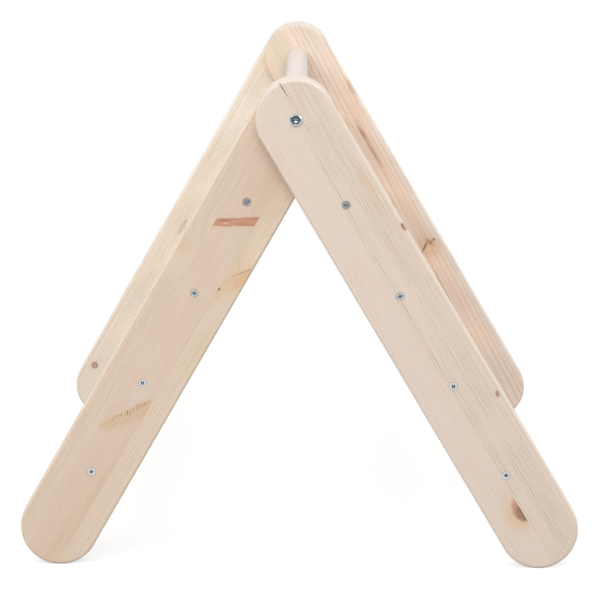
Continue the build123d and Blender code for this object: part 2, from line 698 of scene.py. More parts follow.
    def rings(self) -> tuple[Value, Value]:
        """Growth rings about the tree's heart.

        Returns:
            The late wood, from 0 to 1, and the same with each strip's own strength.
        """
        graph = self.graph
        seed = self.by_strip(lambda strip: self.STRIP_STEP * self.board.strips.index(strip) + self.board.seed)
        share = self.u / self.stand.length
        across = self.v - self.swerve() - self.by_strip(lambda strip: strip.heart[0])
        across = across - share * self.by_strip(lambda strip: strip.lean[0])
        for scale, layer, size in self.WANDERS:
            across = across + graph.cloud(self.u * scale, seed, layer, COARSE) * size
        deep = self.w - share * self.by_strip(lambda strip: strip.lean[1])
        deep = deep - self.by_strip(lambda strip: strip.heart[1])
        radius = (across * across + deep * deep).root()
        scale, layer, size = self.SPACING
        count = radius / self.by_strip(lambda strip: strip.ring)
        count = count + graph.cloud(radius * scale, seed, layer, COARSE) * size
        place = count.part()
        late = place.rise(*self.LATE_RISE) * place.fall(*self.LATE_FALL)
        vigour = graph.chance(count.whole() + seed) * (1 - self.LEAST_VIGOUR) + self.LEAST_VIGOUR
        shown = late * vigour
        for along, around, layer, low in self.FADES:
            patch = graph.cloud(self.u * along, radius * around, seed + layer)
            shown = shown * patch.rise(low, self.FADE_END)
        return late, shown * self.calm() * self.by_strip(lambda strip: strip.late)

    def wood(self, late: Value) -> NodeSocket:
        """The clear wood between the knots.

        Args:
            late: Strength of the late wood.

        Returns:
            Its colour.
        """
        graph, finish, board = self.graph, self.finish, self.board
        drift = self.lumps(self.DRIFT_LUMPS, board.seed + self.w * self.DRIFT_LUMPS[1])
        tone = drift * self.DRIFT + self.by_strip(lambda strip: strip.tone)
        colour = graph.blend(tone.rise(0.0, self.TONE_REACH), finish.early, finish.straw)
        colour = graph.blend(tone.fall(-self.TONE_REACH, 0.0), colour, finish.pink)
        colour = self.with_tints(graph.blend(1.0, colour, board.wash, "MULTIPLY"))
        dark = tuple(level * share for level, share in zip(board.late, board.wash))
        colour = graph.blend(late, colour, dark)
        light = self.deep_lumps(self.FIBRE_LUMPS) * self.FIBRE_LIGHT + 1
        light = light + self.deep_lumps(self.PORE_LUMPS, FINE) * self.PORE_LIGHT
        light = light * self.by_strip(lambda strip: strip.light)
        shade = graph.node("ShaderNodeCombineXYZ", None, {axis: light for axis in range(3)}).outputs[0]
        return graph.blend(1.0, colour, shade, "MULTIPLY")

    def with_tints(self, colour: NodeSocket) -> NodeSocket:
        """Lets the wood's colour drift, under its rings, and lays the few tints that are painted light and
        shade.

        Args:
            colour: The wood without its rings.

        Returns:
            The wood with its drifts of colour.
        """
        for tint in self.board.tints:
            along = (self.u - tint.centre[0]) / tint.half[0]
            across = (self.v - tint.centre[1]) / tint.half[1]
            reach = (along * along + across * across).root()
            reach = reach + self.lumps(self.TINT_LUMPS, tint.centre[0]) * self.RAGGED
            share = reach.fall(0.0, self.TINT_END) * self.face_mask(tint.strip) * tint.strength
            colour = self.graph.blend(share, colour, paint(*tint.colour))
        return colour

    def knot_inside(self, knot: Knot, reach: Value) -> NodeSocket:
        """The figure inside a knot.

        Args:
            knot: The knot.
            reach: How far out of the knot a point lies.

        Returns:
            Its colour.
        """
        graph = self.graph
        along, across = self.knot_axes(knot)
        figure = (reach - self.CORE_RADIUS) * knot.core
        figure = figure + along * (knot.slant / knot.half[0]) + self.CORE_TONE
        if knot.kind is KnotKind.ROUND:
            blotch = self.lumps(self.BLOTCH_LUMPS, knot.centre[0], FINE)
            years = (reach * self.YEARS + blotch * self.YEARS_WANDER).sine()
            figure = figure + blotch * self.BLOTCH + years * self.YEARS_TONE
        elif knot.kind is KnotKind.RIPPLE:
            size = self.STROKE_LUMPS
            wander = graph.cloud(along * size, across * size, self.STROKE_LAYER) * self.STROKE_WANDER
            phase = along + across * self.STROKE_SKEW + wander
            stroke = (phase * (math.tau / self.RIPPLE_PITCH)).sine().rise(*self.STROKE_RISE)
            size = self.PATCH_LUMPS
            patch = graph.cloud(along * size, across * size, self.PATCH_LAYER).rise(*self.BROKEN)
            spine = abs(across).fall(*self.SPINE_WIDTH) * (along / knot.half[0]).fall(*self.SPINE_LENGTH)
            figure = stroke * patch * (spine + self.SPINE_REST)
        else:
            scale = self.STREAK_LUMPS
            streaks = graph.cloud(along * scale[0], across * scale[1], knot.centre[0], FINE)
            figure = figure + streaks * self.STREAK_TONE
        return graph.blend(figure.within(0.0, 1.0), paint(*knot.pale), paint(*knot.dark))

    def with_knots(self, colour: NodeSocket) -> NodeSocket:
        """Lays the knots over the clear wood.

        Args:
            colour: The clear wood.

        Returns:
            The wood with its knots.
        """
        for knot in self.board.knots:
            reach = self.knot_reach(knot)
            cover = self.strip_mask(knot.strip) if knot.through else self.face_mask(knot.strip)
            halo = reach.fall(*self.HALO_FALL) * cover * knot.halo_strength
            colour = self.graph.blend(halo, colour, paint(*knot.halo))
            inside = self.knot_inside(knot, reach)
            body = reach.fall(1 - knot.soft, 1 + knot.soft / 2)
            colour = self.graph.blend(body * cover * knot.strength, colour, inside)
        return colour

    def with_joints(self, colour: NodeSocket) -> NodeSocket:
        """Lays the glue lines and the crushed rims of the screw holes over the wood.

        Args:
            colour: The wood.

        Returns:
            The wood with its joints.
        """
        graph, finish, stand = self.graph, self.finish, self.stand
        for strip in self.board.strips[1:]:
            line = abs(self.v - strip.top).fall(*self.GLUE_LINE)
            broken = graph.cloud(self.u * self.GLUE_LUMPS, strip.top, self.GLUE_LAYER).rise(*self.BROKEN)
            colour = graph.blend(line * broken * finish.glue_cover, colour, finish.glue)
        first, second = stand.stations[:2]
        pitch = second - first
        index = ((self.u - first) / pitch + 0.5).whole().within(0.0, len(stand.stations) - 1.0)
        away = self.u - first - index * pitch
        away = (away * away + self.v * self.v).root()
        rim = away.fall(stand.screw_mouth, stand.screw_mouth + self.CRUSHED_WIDTH)
        rim = rim * self.w.rise(stand.thickness - self.CRUSHED_DEPTH, stand.thickness)
        return graph.blend(rim * finish.crushed_cover, colour, finish.crushed)

    def with_rims(self, colour: NodeSocket) -> NodeSocket:
        """Paints a highlight along the planed edges as paler wood, and turns the wood into end grain round
        the ends.

        Args:
            colour: The wood.

        Returns:
            The wood with its edges.
        """
        graph, finish = self.graph, self.finish
        radius = self.stand.width / 2
        past = (radius - self.u).at_least(self.u - (self.stand.length - radius)).at_least(0.0)
        away = (past * past + self.v * self.v).root()
        # The rim takes the painted highlight along the eased edges, and the end grain at the ends
        rim = away.rise(radius - self.EDGE_FROM, radius - self.EDGE_TO)
        colour = graph.blend(rim * finish.edge_highlight_cover, colour, finish.edge)
        ends = rim * (past / radius).rise(*self.END_RISE)
        return graph.blend(ends * finish.end_cover, colour, finish.end_grain)

    def fill(self) -> None:
        """Draws the whole board."""
        graph, finish = self.graph, self.finish
        late, shown = self.rings()
        nap = self.deep_lumps(self.NAP_LUMPS, FINE)
        graph.surface(
            Base_Color=self.with_rims(self.with_joints(self.with_knots(self.wood(shown)))),
            Roughness=nap * self.NAP_ROUGH + finish.roughness - late * self.LATE_GLOSS,
            Normal=graph.relief(nap * self.NAP_RELIEF + late * self.LATE_RELIEF, finish.relief),
        )


@dataclass(frozen=True)
class RungFinish:
    """Pale turned hardwood with a fine straight figure and short ray flecks.

    Constants that end in LUMPS are a noise's scale along the rung and across it, in lumps to the
    millimetre.

    Attributes:
        name: Name of the material.
        pale: Colour of the wood.
        warm: Colour of its drifts and rings.
        fleck: Colour of its flecks.
        heart: Where the tree's heart lies beside the rung, in millimetres.
        ring: Width of a growth ring.
        roughness: Mean roughness.
        relief: Depth of the relief in metres.
    """

    WANDER_LUMPS = (0.004, 0.02)
    WANDER = 8.0
    LINE_RISE = (0.2, 0.9)
    LINE_FALL = (0.92, 1.0)
    LINE_VIGOUR = (0.2, 0.7)
    LINE_COVER = 0.4
    DRIFT_LUMPS = (0.003, 0.05)
    DRIFT_RISE = (-0.2, 0.3)
    DRIFT_COVER = 0.45
    FLECK_LUMPS = (0.22, 1.9)
    FLECK_RISE = (0.17, 0.27)
    FLECK_COVER = 0.3
    FLECK_SINK = 0.3
    FIBRE_LUMPS = (0.06, 4.0)
    FIBRE_ROUGH = 0.12

    name: str = "rung_hardwood"
    pale: Colour = paint(228, 217, 211)
    warm: Colour = paint(216, 195, 179)
    fleck: Colour = paint(196, 164, 142)
    heart: tuple[float, float] = (46.0, 12.0)
    ring: float = 2.7
    roughness: float = 0.5
    relief: float = 0.00006

    def material(self) -> Material:
        """Makes the material.

        Returns:
            The material of rungs that were cut from the same timber.
        """
        material, graph = new_material(self.name)
        along, side, rise = graph.own_axes(GRAIN)

        def lumps(scale: tuple[float, float], detail: float = MEDIUM) -> Value:
            """Noise in the rung's wood."""
            return graph.cloud(along * scale[0], side * scale[1], rise * scale[1], detail)

        across = side - self.heart[0] + lumps(self.WANDER_LUMPS) * self.WANDER
        deep = rise - self.heart[1]
        count = (across * across + deep * deep).root() / self.ring
        place = count.part()
        least, spread = self.LINE_VIGOUR
        line = place.rise(*self.LINE_RISE) * place.fall(*self.LINE_FALL)
        line = line * (graph.chance(count.whole()) * spread + least)
        drift = lumps(self.DRIFT_LUMPS).rise(*self.DRIFT_RISE)
        fleck = lumps(self.FLECK_LUMPS, COARSE).rise(*self.FLECK_RISE)
        fibre = lumps(self.FIBRE_LUMPS, FINE)
        colour = graph.blend(drift * self.DRIFT_COVER, self.pale, self.warm)
        colour = graph.blend(line * self.LINE_COVER, colour, self.warm)
        colour = graph.blend(fleck * self.FLECK_COVER, colour, self.fleck)
        graph.surface(
            Base_Color=colour,
            Roughness=fibre * self.FIBRE_ROUGH + self.roughness,
            Normal=graph.relief(fibre - fleck * self.FLECK_SINK, self.relief),
        )
        return material


@dataclass(frozen=True)
class MetalFinish:
    """Plated or plain metal with faint stains and turning marks, and painted shade in its recesses.

    Attributes:
        name: Name of the material.
        bright: Colour of the clean metal.
        dull: Colour of its stains.
        roughness: Roughness of the clean metal.
        recess: Height of the recess's mouth, and the depths where its painted shade starts and is darkest.
        recess_radius: Radius of the recess.
        recess_shade: How dark the painted shade in the recess grows, 0 to 1.
        shade: Colour of the painted shade.
        marks: Distance between turning marks, in millimetres.
        relief: Depth of those marks in metres.
    """

    STAIN_LUMPS = 0.35
    STAIN_RISE = (-0.1, 0.3)
    STAIN_COVER = 0.3
    STAIN_ROUGH = 0.06
    # Painted shade: how far past the recess it fades, and how the head darkens towards its axis
    RECESS_RIM = 0.3
    CORE_FALL = (1.5, 2.6)
    CORE_SHADE = 0.38

    name: str
    bright: Colour
    dull: Colour
    roughness: float
    recess: tuple[float, float, float] | None = None
    recess_radius: float = 3.0
    recess_shade: float = 0.05
    shade: Colour = paint(68, 82, 96)
    marks: float = 0.45
    relief: float = 0.000002

    def material(self, axis: Vector | None = None) -> Material:
        """The material of turned pieces.

        Args:
            axis: A point on the pieces' axis along Y. Without it, they carry their own coordinates.

        Returns:
            The material.
        """
        material, graph = new_material(self.name if axis is None else f"{self.name}_packed")
        if axis is None:
            side, along, rise = graph.own_axes(TURNED)
        else:
            place = graph.node("ShaderNodeTexCoord").outputs["Object"]
            offset = {"operation": "SUBTRACT"}
            place = graph.node("ShaderNodeVectorMath", offset, {0: place, 1: axis}).outputs[0]
            side, along, rise = (coordinate / MM for coordinate in graph.axes(place))
        radius = (side * side + rise * rise).root()
        mark = (radius * (math.tau / self.marks)).sine() * 0.5 + 0.5
        spots = (coordinate * self.STAIN_LUMPS for coordinate in (side, along, rise))
        stain = graph.cloud(*spots, FINE).rise(*self.STAIN_RISE)
        colour = graph.blend(stain * self.STAIN_COVER, self.bright, self.dull)
        # Painted shade: the recess and the middle of the head round it are drawn darker
        if self.recess is not None and axis is None:
            mouth, low, high = self.recess
            inside = radius.fall(self.recess_radius, self.recess_radius + self.RECESS_RIM)
            painted_recess_shade = (mouth - along).rise(low, high) * self.recess_shade
            painted_recess_shade = painted_recess_shade + radius.fall(*self.CORE_FALL) * self.CORE_SHADE
            colour = graph.blend(painted_recess_shade * inside, colour, self.shade)
        graph.surface(
            Base_Color=colour,
            Metallic=1.0,
            Roughness=stain * self.STAIN_ROUGH + self.roughness,
            Normal=graph.relief(mark, self.relief),
        )
        return material


# The screws and the bolt carry painted shade in their recesses
ZINC_SCREW = MetalFinish("zinc_screw", paint(198, 202, 205), paint(158, 163, 168), 0.24, (0.0, 0.2, 1.6))
ZINC_BOLT = MetalFinish("zinc_bolt", paint(192, 203, 212), paint(154, 165, 176), 0.15, (2.6, 1.8, 3.8), 3.4,
                        recess_shade=0.42)
BRASS = MetalFinish("brass_insert", paint(214, 178, 106), paint(168, 132, 74), 0.3)


def new_object(name: str, data: ID) -> Object:
    """Puts an object in the scene, at the origin.

    Args:
        name: Its name.
        data: Its mesh, camera or lamp.

    Returns:
        The object.
    """
    made = bpy.data.objects.new(name, data)
    bpy.context.scene.collection.objects.link(made)
    return made


class Workpiece:
    """A mesh on the bench, in millimetres, and the few steps that shape it."""

    ROUND_STEPS = 64

    def __init__(self) -> None:
        """Starts with an empty mesh."""
        self.bm = bmesh.new()

    @staticmethod
    def verts_of(made: Iterable[Any]) -> list[BMVert]:
        """The vertices among what an operator made."""
        return [item for item in made if isinstance(item, BMVert)]

    def arc(self, start: BMVert, centre: Sequence[float], turn: float, steps: int) -> BMVert:
        """Draws an arc from a vertex, about an axis along Z, and gives its last vertex."""
        made = bmesh.ops.spin(self.bm, geom=[start], cent=centre, axis=(0, 0, 1), angle=turn, steps=steps)
        return self.verts_of(made["geom_last"])[0]

    def lathe(self, profile: Iterable[tuple[float, float]]) -> None:
        """Turns a profile about Z.

        Args:
            profile: Radius and height of each point.
        """
        verts = [self.bm.verts.new((radius, 0, height)) for radius, height in profile]
        edges = [self.bm.edges.new(pair) for pair in zip(verts, verts[1:])]
        bmesh.ops.spin(self.bm, geom=verts + edges, cent=(0, 0, 0), axis=(0, 0, 1), angle=math.tau,
                       steps=self.ROUND_STEPS, use_merge=True)
        bmesh.ops.remove_doubles(self.bm, verts=self.bm.verts, dist=WELD)

    def step(self, edges: Sequence[BMEdge], u: float, grow: float, shift: float) -> list[BMEdge]:
        """Carries a closed loop one step on, as a new wall.

        Args:
            edges: The loop.
            u: Where its axis is along X.
            grow: Its new size over its old one.
            shift: How far it moves along Z.

        Returns:
            The new loop.
        """
        made = bmesh.ops.extrude_edge_only(self.bm, edges=list(edges))["geom"]
        verts = self.verts_of(made)
        bmesh.ops.scale(self.bm, vec=(grow, grow, 1), space=Matrix.Translation((-u, 0, 0)), verts=verts)
        bmesh.ops.translate(self.bm, vec=(0, 0, shift), verts=verts)
        known = set(verts)
        grown = [item for item in made if isinstance(item, BMEdge)]
        return [edge for edge in grown if known.issuperset(edge.verts)]

    def bore(self, u: float, profile: Sequence[tuple[float, float]]) -> None:
        """Makes the wall of a round hole through a board, with open ends.

        Args:
            u: Where the hole is along the board.
            profile: Radius and height of each ring, from the outer face to the inner one.
        """
        (radius, height), *others = profile
        place = Matrix.Translation((u, 0, height))
        ring = bmesh.ops.create_circle(self.bm, radius=radius, segments=self.ROUND_STEPS, matrix=place)
        edges = list({edge for vert in ring["verts"] for edge in vert.link_edges})
        for next_radius, next_height in others:
            edges = self.step(edges, u, next_radius / radius, next_height - height)
            radius, height = next_radius, next_height

    def cap(self, height: float) -> None:
        """Closes the open loops at one height with a flat face, holes left free.

        Args:
            height: Where the loops lie.
        """
        edges = [
            edge for edge in self.bm.edges
            if len(edge.link_faces) < 2 and all(abs(vert.co.z - height) < WELD for vert in edge.verts)
        ]
        bmesh.ops.triangle_fill(self.bm, use_beauty=True, edges=edges, normal=(0, 0, 1))

    def recess(self, levels: Sequence[tuple[float, float]]) -> None:
        """Sinks all the flat faces so far into a recess about the Z axis, and leaves its mouth open.

        Args:
            levels: For each level, its size over the one before and its step down.
        """
        faces = self.bm.faces[:]
        for grow, down in levels:
            made = bmesh.ops.extrude_face_region(self.bm, geom=faces)["geom"]
            bmesh.ops.delete(self.bm, geom=faces, context="FACES")
            faces = [item for item in made if isinstance(item, BMFace)]
            verts = self.verts_of(made)
            bmesh.ops.scale(self.bm, vec=(grow, grow, 1), verts=verts)
            bmesh.ops.translate(self.bm, vec=(0, 0, -down), verts=verts)

    def finished(self, name: str) -> Mesh:
        """Takes the work off the bench.

        Args:
            name: The new mesh's name.

        Returns:
            The mesh, with its faces outwards.
        """
        bmesh.ops.remove_doubles(self.bm, verts=self.bm.verts, dist=WELD)
        bmesh.ops.recalc_face_normals(self.bm, faces=self.bm.faces)
        mesh = bpy.data.meshes.new(name)
        self.bm.to_mesh(mesh)
        self.bm.free()
        return mesh


def write_axes(mesh: Mesh, name: str, axes: Callable[[Vector], Vector]) -> None:
    """Writes its own coordinates on a mesh.

    Args:
        mesh: The mesh, still in its own axes.
        name: Name of the attribute.
        axes: From a place in the mesh to the coordinates, in millimetres.
    """
    own = mesh.attributes.new(name, "FLOAT_VECTOR", "POINT")
    for entry, vert in zip(own.data, mesh.vertices):
        entry.vector = axes(vert.co)


@dataclass(frozen=True)
class BoardPlace:
    """Where one board stands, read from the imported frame.

    The board's own axes are u, from the top end to the foot, v, towards its outer edge, and w, from the
    inner face to the outer one, all in millimetres. v is 0 along the board's middle.

    Attributes:
        axes: From the board's own axes to the frame.
        length: Length of the board.
        width: Its width.
        thickness: Its thickness.
        stations: Where the rungs are along u.
        rung_radius: Radius of the rungs.
        screw_mouth: Radius of the countersinks at the face.
    """

    axes: Matrix
    length: float
    width: float
    thickness: float
    stations: tuple[float, ...]
    rung_radius: float
    screw_mouth: float = 5.1

    @classmethod
    def from_frame(cls, node: str, rungs: Sequence[str], pivot: Vector) -> BoardPlace:
        """Reads a board's place.

        Args:
            node: The board's node.
            rungs: The nodes of its ladder's rungs, from the top down.
            pivot: A point on the hinge axis.

        Returns:
            The place.
        """
        low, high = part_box(node)
        side = 1 if high.x > -low.x else -1
        outward = 1 if low.y + high.y > 0 else -1
        radius = min(high.x, -low.x)
        foot = Vector((side * (max(high.x, -low.x) - radius), pivot.y, low.z + radius))
        down = (foot - pivot).normalized()
        out = Vector((-side * down.z, 0, side * down.x))
        inner_y = low.y if outward > 0 else high.y
        start = Vector((pivot.x, inner_y, pivot.z)) - down * radius
        turn = Matrix((down, out, Vector((0, outward, 0)))).transposed().to_4x4()
        middles = [sum(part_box(rung), Vector()) / 2 for rung in rungs]
        rung_low, rung_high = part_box(rungs[0])
        return cls(
            axes=Matrix.Translation(start) @ turn @ Matrix.Scale(MM, 4),
            length=((foot - pivot).length + 2 * radius) / MM,
            width=2 * radius / MM,
            thickness=(high.y - low.y) / MM,
            stations=tuple(((middle - start).dot(down)) / MM for middle in middles),
            rung_radius=(rung_high.x - rung_low.x) / 2 / MM,
        )


@dataclass(frozen=True)
class Crack:
    """A drying crack that runs in from the top end of a board.

    Attributes:
        v: Where it is across the board.
        length: How far it runs in.
        mouth: Its width at the end.
        depth: Its depth below the outer face.
    """

    v: float
    length: float
    mouth: float
    depth: float


@dataclass(frozen=True)
class BoardTimber:
    """What one board was sawn from.

    Attributes:
        node: The board's node.
        shown: The face that its tints and most of its knots are on.
        strips: Its lamellas, from the outer edge to the inner one.
        knots: Its knots and streaks.
        tints: Drifts of its colour, a few of them painted light and shade.
        bends: Where its rings swing aside.
        crack: Its drying crack, if it has one.
        seed: Keeps its figure apart from the other boards'.
        wash: Tint of the whole board.
        late: Colour of its late wood.
    """

    node: str
    shown: Face
    strips: tuple[Lamella, ...]
    knots: tuple[Knot, ...] = ()
    tints: tuple[Tint, ...] = ()
    bends: tuple[Bend, ...] = ()
    crack: Crack | None = None
    seed: float = 0.0
    wash: Colour = (1.0, 1.0, 1.0, 1.0)
    late: Colour = paint(190, 154, 116)


@dataclass(frozen=True)
class BoardMaker:
    """Saws, drills and eases one board.

    Attributes:
        stand: The board's place and sizes.
        ease: Radius of its eased edges.
        end_steps: Edges in each of its round ends.
        ease_steps: Faces across an eased edge.
        socket_depth: Depth of the rung sockets.
        socket_clearance: Gap round a rung.
        screw_bore: Radius of the screw holes.
        head_rim: Depth of a countersink's straight mouth.
        pivot_bore: Radius of the hinge hole.
    """

    stand: BoardPlace
    ease: float = 3.0
    end_steps: int = 72
    ease_steps: int = 6
    socket_depth: float = 15.0
    socket_clearance: float = 0.1
    screw_bore: float = 2.6
    head_rim: float = 0.7
    pivot_bore: float = 4.1

    def blank(self) -> Workpiece:
        """Makes the round-ended plank with eased edges.

        Returns:
            The plank without its two faces.
        """
        plank = Workpiece()
        bm = plank.bm
        stand = self.stand
        radius = stand.width / 2
        foot = stand.length - radius
        first = bm.verts.new((radius, -radius, 0))
        top = plank.arc(first, (radius, 0, 0), -math.pi, self.end_steps)
        corner = bmesh.ops.extrude_vert_indiv(bm, verts=[top])["verts"][0]
        corner.co.x = foot
        last = plank.arc(corner, (foot, 0, 0), -math.pi, self.end_steps)
        bm.edges.new((last, first))
        outline = bmesh.ops.contextual_create(bm, geom=bm.edges[:])["faces"]
        made = bmesh.ops.extrude_face_region(bm, geom=outline)["geom"]
        bmesh.ops.translate(bm, vec=(0, 0, stand.thickness), verts=plank.verts_of(made))
        rims = [edge for edge in bm.edges if edge.verts[0].co.z == edge.verts[1].co.z]
        bmesh.ops.bevel(bm, geom=rims, offset=self.ease, offset_type="OFFSET", segments=self.ease_steps,
                        profile=0.5, affect="EDGES", material=-1)
        faces = sorted(bm.faces, key=lambda face: len(face.verts))[-2:]
        bmesh.ops.delete(bm, geom=faces, context="FACES_ONLY")
        return plank

    def drill(self, plank: Workpiece) -> None:
        """Makes the hinge hole, and the socket and screw hole of each rung.

        Args:
            plank: The plank.
        """
        stand = self.stand
        face = stand.thickness
        cone_end = face - self.head_rim - (stand.screw_mouth - self.screw_bore)
        socket = stand.rung_radius + self.socket_clearance
        plank.bore(stand.width / 2, [(self.pivot_bore, face), (self.pivot_bore, 0)])
        for station in stand.stations:
            plank.bore(station, [
                (stand.screw_mouth, face),
                (stand.screw_mouth, face - self.head_rim),
                (self.screw_bore, cone_end),
                (self.screw_bore, self.socket_depth),
                (socket, self.socket_depth),
                (socket, 0),
            ])

    def split(self, mesh: Mesh, crack: Crack) -> Mesh:
        """Cuts a drying crack into the top end.

        Args:
            mesh: The whole board.
            crack: The crack.

        Returns:
            The cracked board.
        """
        overrun = 1.0
        height, base = 1.5, math.sqrt(3)  # of a triangle with three equal sides and a radius of 1
        work = Workpiece()
        bmesh.ops.create_cone(work.bm, cap_ends=True, segments=3, radius1=1, radius2=1, depth=1)
        bmesh.ops.transform(work.bm, verts=work.bm.verts, matrix=Matrix((
            (0, (crack.length + overrun) / height, 0, (crack.length - 2 * overrun) / 3),
            (crack.mouth / base, 0, 0, crack.v),
            (0, 0, 2 * crack.depth, self.stand.thickness),
            (0, 0, 0, 1),
        )))
        wedge = new_object("wedge", work.finished("wedge"))
        whole = new_object("whole", mesh)
        cut = whole.modifiers.new("crack", "BOOLEAN")
        cut.operation = "DIFFERENCE"
        cut.solver = "EXACT"
        cut.object = wedge
        ready = whole.evaluated_get(bpy.context.evaluated_depsgraph_get())
        cracked = bpy.data.meshes.new_from_object(ready)
        for helper in (wedge, whole):
            spare = helper.data
            bpy.data.objects.remove(helper)
            bpy.data.meshes.remove(spare)
        return cracked

    def mesh(self, name: str, crack: Crack | None) -> Mesh:
        """Makes the board.

        Args:
            name: The mesh's name.
            crack: Its drying crack, if it has one.

        Returns:
            The mesh in the board's own axes, with its grain written on it.
        """
        plank = self.blank()
        self.drill(plank)
        for height in (0, self.stand.thickness):
            plank.cap(height)
        mesh = plank.finished(name)
        if crack is not None:
            mesh = self.split(mesh, crack)
            mesh.name = name
        write_axes(mesh, GRAIN, Vector.copy)
        return mesh


@dataclass(frozen=True)
class RungMaker:
    """Turns one rung and drills its ends.

    Attributes:
        chamfer: Chamfer of its ends.
        bore: Radius of the holes in its ends.
        bore_depth: Depth of those holes.
        bore_tip: Length of their pointed bottom.
    """

    chamfer: float = 1.0
    bore: float = 2.6
    bore_depth: float = 48.0
    bore_tip: float = 6.0

    def mesh(self, name: str, node: str, shift: float) -> tuple[Mesh, Matrix]:
        """Makes the rung that stands for a node.

        Args:
            name: The mesh's name.
            node: The node.
            shift: Where in the timber it was cut, in millimetres along the grain.

        Returns:
            The mesh in its own axes, and its place in the frame.
        """
        low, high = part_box(node)
        half = (high.y - low.y) / 2 / MM
        radius = (high.x - low.x) / 2 / MM
        end = [
            (0, half - self.bore_depth),
            (self.bore, half - self.bore_depth + self.bore_tip),
            (self.bore, half),
            (radius - self.chamfer, half),
            (radius, half - self.chamfer),
        ]
        bar = Workpiece()
        bar.lathe(end + [(across, -height) for across, height in reversed(end)])
        mesh = bar.finished(name)
        write_axes(mesh, GRAIN, lambda place: Vector((place.z + shift, place.x, place.y)))
        lie = Matrix.Rotation(math.radians(-90), 4, "X")
        return mesh, Matrix.Translation((low + high) / 2) @ lie @ Matrix.Scale(MM, 4)


@dataclass(frozen=True)
class ScrewMaker:
    """Turns the countersunk screws of one board.

    Attributes:
        head: Radius of the head.
        head_ease: Rounding of its edge.
        head_rim: Height of its straight edge.
        shank: Radius of the shank.
        length: Length of the screw.
        tip: Length of its point.
        sink: How far the head lies below the face.
        slot: Length and width of the cross recess's arms, and width of its core.
        slot_taper: Where the arms reach their width, as a share of the core's width.
        slot_levels: For each level of the recess, its size over the one before and its step down.
        turn_step: Turn of each screw against the one before, in degrees.
    """

    head: float = 5.0
    head_ease: float = 0.2
    head_rim: float = 0.5
    shank: float = 2.5
    length: float = 60.0
    tip: float = 6.0
    sink: float = 0.2
    slot: tuple[float, float, float] = (5.4, 1.6, 2.8)
    slot_taper: float = 0.15
    slot_levels: tuple[tuple[float, float], ...] = ((0.9, 0.3), (0.6, 1.7), (0.1, 0.4))
    turn_step: float = 37.0

    def blank(self) -> Workpiece:
        """Makes one screw.

        Returns:
            The screw, with its head's top at z 0.
        """
        screw = Workpiece()
        bm = screw.bm
        length, width, core = self.slot
        taper = core * self.slot_taper
        steps = ((width / core, taper), (1.0, (length - core) / 2 - taper))
        bmesh.ops.create_grid(bm, x_segments=1, y_segments=1, size=core / 2)
        for edge in bm.edges[:]:
            middle = (edge.verts[0].co + edge.verts[1].co) / 2
            for narrow, away in steps:
                verts = screw.verts_of(bmesh.ops.extrude_edge_only(bm, edges=[edge])["geom"])
                edge = next(item for item in verts[0].link_edges if item.other_vert(verts[0]) is verts[1])
                bmesh.ops.scale(bm, vec=(narrow,) * 3, space=Matrix.Translation(-middle), verts=verts)
                bmesh.ops.translate(bm, vec=middle.normalized() * away, verts=verts)
                middle = (verts[0].co + verts[1].co) / 2
        screw.recess(self.slot_levels)
        screw.lathe([
            (self.head - self.head_ease, 0),
            (self.head, -self.head_ease),
            (self.head, -self.head_rim),
            (self.shank, -self.head_rim - self.head + self.shank),
            (self.shank, self.tip - self.length),
            (0, -self.length),
        ])
        screw.cap(0)
        return screw

    def mesh(self, name: str, stand: BoardPlace) -> Mesh:
        """Makes a board's screws.

        Args:
            name: The mesh's name.
            stand: The board's place and sizes.

        Returns:
            The mesh in the board's own axes.
        """
        one = self.blank().finished("screw")
        write_axes(one, TURNED, lambda place: place.xzy)
        group = Workpiece()
        for index, station in enumerate(stand.stations, start=1):
            turn = Matrix.Rotation(math.radians(self.turn_step * index), 4, "Z")
            screw = one.copy()
            screw.transform(Matrix.Translation((station, 0, stand.thickness - self.sink)) @ turn)
            group.bm.from_mesh(screw)
            bpy.data.meshes.remove(screw)
        bpy.data.meshes.remove(one)
        return group.finished(name)


@dataclass(frozen=True)
class BoltMaker:
    """Turns a hinge bolt with a wide bevelled head and a hex socket.

    Attributes:
        head: Radius of the head.
        flat: Radius of its flat top.
        height: Height of the head.
        rim: Height of its straight edge.
        ease: Rounding of its edges.
        shank: Radius of the shank.
        tip: Chamfer of the shank's end.
        hex_flats: Width of the socket across its flats.
        hex_levels: For each level of the socket, its size over the one before and its step down.
    """

    head: float = 7.5
    flat: float = 5.8
    height: float = 2.6
    rim: float = 1.2
    ease: float = 0.2
    shank: float = 4.0
    tip: float = 1.0
    hex_flats: float = 5.6
    hex_levels: tuple[tuple[float, float], ...] = ((0.84, 0.45), (1.0, 2.4), (0.1, 1.1))

    def mesh(self, name: str, node: str) -> tuple[Mesh, Matrix]:
        """Makes the bolt that stands for a node.

        Args:
            name: The mesh's name.
            node: The node.

        Returns:
            The mesh in its own axes, and its place in the frame.
        """
        low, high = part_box(node)
        outward = 1 if low.y + high.y > 0 else -1
        seat = (high.y if outward > 0 else low.y) - outward * self.height * MM
        shank_end = self.height - (high.y - low.y) / MM
        bolt = Workpiece()
        mouth = Matrix.Translation((0, 0, self.height))
        corner = self.hex_flats / math.sqrt(3)
        bmesh.ops.create_circle(bolt.bm, cap_ends=True, segments=6, radius=corner, matrix=mouth)
        bolt.recess(self.hex_levels)
        bolt.lathe([
            (self.flat, self.height),
            (self.flat + self.ease, self.height - self.ease / 2),
            (self.head - self.ease, self.rim + self.ease),
            (self.head, self.rim - self.ease),
            (self.head, self.ease),
            (self.head - self.ease, 0),
            (self.shank, 0),
            (self.shank, shank_end + self.tip),
            (self.shank - self.tip, shank_end),
            (0, shank_end),
        ])
        bolt.cap(self.height)
        turn = Matrix.Rotation(math.radians(-90 * outward), 4, "X")
        axis = Vector(((low.x + high.x) / 2, seat, (low.z + high.z) / 2))
        mesh = bolt.finished(name)
        write_axes(mesh, TURNED, lambda place: place.xzy)
        return mesh, Matrix.Translation(axis) @ turn @ Matrix.Scale(MM, 4)


